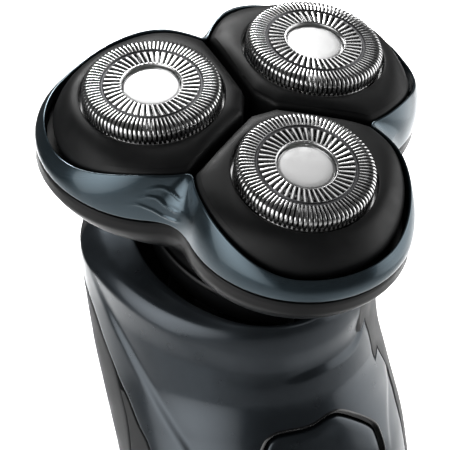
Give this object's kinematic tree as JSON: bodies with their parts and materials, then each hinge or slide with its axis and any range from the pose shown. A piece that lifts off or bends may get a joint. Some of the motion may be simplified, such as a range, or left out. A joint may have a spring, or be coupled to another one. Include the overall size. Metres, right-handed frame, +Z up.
{
  "type": "electric shaver",
  "caption": "Upright rotary electric shaver: flexing slotted shaving heads in a lobed metallic ring on a tilted neck, glossy dark handle with grips, power button and charge inlet.",
  "frame": {"origin": "centre of the flat base that the shaver stands on", "axes": "+Z up along the handle, -Y towards the power button and the front shaving head, +X to the right seen from the front"},
  "size_m": [0.065, 0.066, 0.158],
  "materials": {
    "pod_soft_black": "soft-touch moulded black",
    "housing_black": "satin moulded black",
    "trim_blue_metal": "blue-grey metallic lacquer, glossy",
    "shell_blue_gloss": "dark blue-grey metallic lacquer under clear coat",
    "cover_grey": "fine spark-eroded matte grey",
    "grip_rubber": "soft ribbed grip",
    "cap_steel": "bright fine-ground steel",
    "gear_white": "natural acetal",
    "board_green": "solder mask",
    "cell_wrap": "shrink sleeve",
    "contact_brass": "plated contact",
    "lamp_clear": "translucent light guide",
    "seal_rubber": "moulded seal",
    "inner_steel": "plain pressed steel"
  },
  "bodies": {
    "handle": {"head_housing": "housing_black", "gear_cover": "housing_black", "gear_plate": "inner_steel", "shaft_seal": "seal_rubber", "neck_ring": "housing_black", "front_shell": "shell_blue_gloss", "back_cover": "cover_grey", "grip_left": "grip_rubber", "grip_right": "grip_rubber", "base_cap": "housing_black", "button_bezel": "housing_black", "charge_light": "lamp_clear", "chassis": "housing_black", "motor": "inner_steel", "battery": "cell_wrap", "battery_tab_top": "contact_brass", "battery_tab_bottom": "contact_brass", "circuit_board": "board_green", "tact_switch": "housing_black", "charge_socket": "housing_black", "charge_pin_left": "contact_brass", "charge_pin_right": "contact_brass", "screw_left": "inner_steel", "screw_right": "inner_steel", "shoulder_inlay": "cover_grey"},
    "shaving_unit": {"trim_ring": "trim_blue_metal", "cutter_frame": "housing_black"},
    "drive": {"drive_gear": "contact_brass", "motor_shaft": "inner_steel"},
    "head_front": {"pod_front": "pod_soft_black", "guard_cap_front": "cap_steel", "cap_disc_front": "cap_steel"},
    "cutter_front": {"cutter_front": "cap_steel"},
    "spindle_front": {"gear_front": "gear_white", "spindle_front": "gear_white"},
    "head_right": {"pod_right": "pod_soft_black", "guard_cap_right": "cap_steel", "cap_disc_right": "cap_steel"},
    "cutter_right": {"cutter_right": "cap_steel"},
    "spindle_right": {"gear_right": "gear_white", "spindle_right": "gear_white"},
    "head_left": {"pod_left": "pod_soft_black", "guard_cap_left": "cap_steel", "cap_disc_left": "cap_steel"},
    "cutter_left": {"cutter_left": "cap_steel"},
    "spindle_left": {"gear_left": "gear_white", "spindle_left": "gear_white"},
    "button": {"power_button": "shell_blue_gloss"}
  },
  "joints": [
    {"name": "unit_lift", "type": "slide", "parent": "handle", "child": "shaving_unit", "axis": [0, -0.4226, 0.9063], "range_m": [0, 0.03]},
    {"name": "drive_spin", "type": "hinge", "parent": "handle", "child": "drive", "pos_m": [0, -0.013, 0.15], "axis": [0, -0.4226, 0.9063], "continuous": true},
    {"name": "flex_front", "type": "hinge", "parent": "shaving_unit", "child": "head_front", "pos_m": [0, -0.02514, 0.13776], "axis": [1, 0, 0], "range_deg": [-2.5, 2.5], "stiffness_Nm_per_rad": 0.5},
    {"name": "cutter_spin_front", "type": "hinge", "parent": "head_front", "child": "cutter_front", "pos_m": [0, -0.02823, 0.1429], "axis": [0, -0.515, 0.8572], "continuous": true},
    {"name": "spindle_spin_front", "type": "hinge", "parent": "handle", "child": "spindle_front", "pos_m": [0, -0.02759, 0.1432], "axis": [0, -0.4226, 0.9063], "continuous": true},
    {"name": "flex_right", "type": "hinge", "parent": "shaving_unit", "child": "head_right", "pos_m": [0.01401, -0.00315, 0.14801], "axis": [-0.5, 0.7849, 0.366], "range_deg": [-2.5, 2.5], "stiffness_Nm_per_rad": 0.5},
    {"name": "cutter_spin_right", "type": "hinge", "parent": "head_right", "child": "cutter_right", "pos_m": [0.01455, -0.00539, 0.15355], "axis": [0.0905, -0.3729, 0.9234], "continuous": true},
    {"name": "spindle_spin_right", "type": "hinge", "parent": "handle", "child": "spindle_right", "pos_m": [0.01394, -0.0057, 0.1534], "axis": [0, -0.4226, 0.9063], "continuous": true},
    {"name": "flex_left", "type": "hinge", "parent": "shaving_unit", "child": "head_left", "pos_m": [-0.01401, -0.00315, 0.14801], "axis": [-0.5, -0.7849, -0.366], "range_deg": [-2.5, 2.5], "stiffness_Nm_per_rad": 0.5},
    {"name": "cutter_spin_left", "type": "hinge", "parent": "head_left", "child": "cutter_left", "pos_m": [-0.01455, -0.00539, 0.15355], "axis": [-0.0905, -0.3729, 0.9234], "continuous": true},
    {"name": "spindle_spin_left", "type": "hinge", "parent": "handle", "child": "spindle_left", "pos_m": [-0.01394, -0.0057, 0.1534], "axis": [0, -0.4226, 0.9063], "continuous": true},
    {"name": "button_press", "type": "slide", "parent": "handle", "child": "button", "axis": [0, 1, 0], "range_m": [0, 0.0008], "stiffness_N_per_m": 1500}
  ],
  "couplings": [
    {"joint": "cutter_spin_front", "follows": "drive_spin", "ratio": -0.5},
    {"joint": "spindle_spin_front", "follows": "drive_spin", "ratio": -0.5},
    {"joint": "cutter_spin_right", "follows": "drive_spin", "ratio": -0.5},
    {"joint": "spindle_spin_right", "follows": "drive_spin", "ratio": -0.5},
    {"joint": "cutter_spin_left", "follows": "drive_spin", "ratio": -0.5},
    {"joint": "spindle_spin_left", "follows": "drive_spin", "ratio": -0.5}
  ]
}
